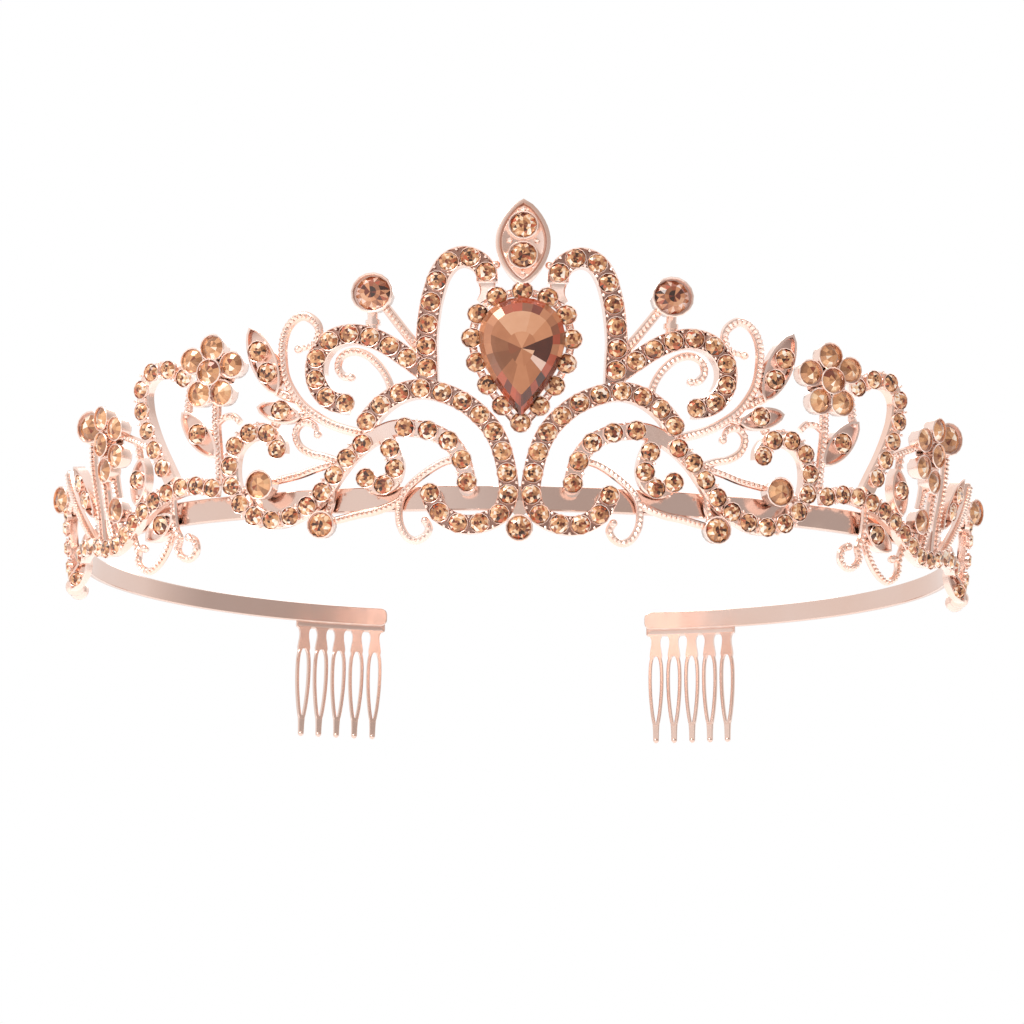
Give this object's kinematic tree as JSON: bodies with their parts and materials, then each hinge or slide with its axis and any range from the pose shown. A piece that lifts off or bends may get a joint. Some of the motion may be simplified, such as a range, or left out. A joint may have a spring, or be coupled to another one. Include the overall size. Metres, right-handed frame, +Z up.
{
  "type": "bridal tiara",
  "caption": "Open C-shaped metal headband with a hair comb at each end and a pierced, stone-set scroll, leaf and flower ornament rising to a pear stone at the front.",
  "frame": {"origin": "middle of the bounding box in plan, at the height of the comb tips", "axes": "+Z up, along the height of the tiara when worn; the ornamented front faces -Y; the two halves are mirror images about the plane X = 0"},
  "size_m": [0.1302, 0.108, 0.0551],
  "materials": {
    "band_metal": "polished rose-gold plate",
    "cast_metal": "bright rose-gold plate over a casting",
    "small_crystal": "faceted champagne glass, foiled back",
    "large_crystal": "faceted peach glass, foiled back"
  },
  "bodies": {
    "root": {"headband": "band_metal", "comb_left": "band_metal", "comb_right": "band_metal", "inner_wing_casting_left": "cast_metal", "inner_wing_casting_right": "cast_metal", "outer_wing_casting_left": "cast_metal", "outer_wing_casting_right": "cast_metal", "centre_casting": "cast_metal", "centre_drop_cup": "cast_metal", "pear_stone": "large_crystal", "halo_stones": "small_crystal", "finial_stone_lower": "small_crystal", "finial_stone_upper": "small_crystal", "centre_drop_stone": "small_crystal", "post_stone_left": "large_crystal", "post_stone_right": "large_crystal", "crest_arch_stones_left": "small_crystal", "crest_arch_stones_right": "small_crystal", "shoulder_scroll_stones_left": "small_crystal", "shoulder_scroll_stones_right": "small_crystal", "main_arch_stones_left": "small_crystal", "main_arch_stones_right": "small_crystal", "s_scroll_stones_left": "small_crystal", "s_scroll_stones_right": "small_crystal", "s_scroll_curl_stones_left": "small_crystal", "s_scroll_curl_stones_right": "small_crystal", "comma_hook_stones_left": "small_crystal", "comma_hook_stones_right": "small_crystal", "outer_loop_stones_left": "small_crystal", "outer_loop_stones_right": "small_crystal", "garland_stones_left": "small_crystal", "garland_stones_right": "small_crystal", "end_scroll_stones_left": "small_crystal", "end_scroll_stones_right": "small_crystal", "inner_flower_stones_left": "small_crystal", "inner_flower_stones_right": "small_crystal", "outer_flower_stones_left": "small_crystal", "outer_flower_stones_right": "small_crystal", "diagonal_leaf_stones_left": "small_crystal", "diagonal_leaf_stones_right": "small_crystal", "end_leaf_stones_left": "small_crystal", "end_leaf_stones_right": "small_crystal", "large_scroll_stone_left": "small_crystal", "large_scroll_stone_right": "small_crystal", "hanging_stone_left": "small_crystal", "hanging_stone_right": "small_crystal", "horizontal_leaf_stone_left": "small_crystal", "horizontal_leaf_stone_right": "small_crystal", "hanging_leaf_stone_left": "small_crystal", "hanging_leaf_stone_right": "small_crystal", "upper_leaf_stone_left": "small_crystal", "upper_leaf_stone_right": "small_crystal", "lower_leaf_stone_left": "small_crystal", "lower_leaf_stone_right": "small_crystal", "outer_cup_stone_left": "small_crystal", "outer_cup_stone_right": "small_crystal", "end_cup_stone_left": "small_crystal", "end_cup_stone_right": "small_crystal"}
  },
  "joints": []
}
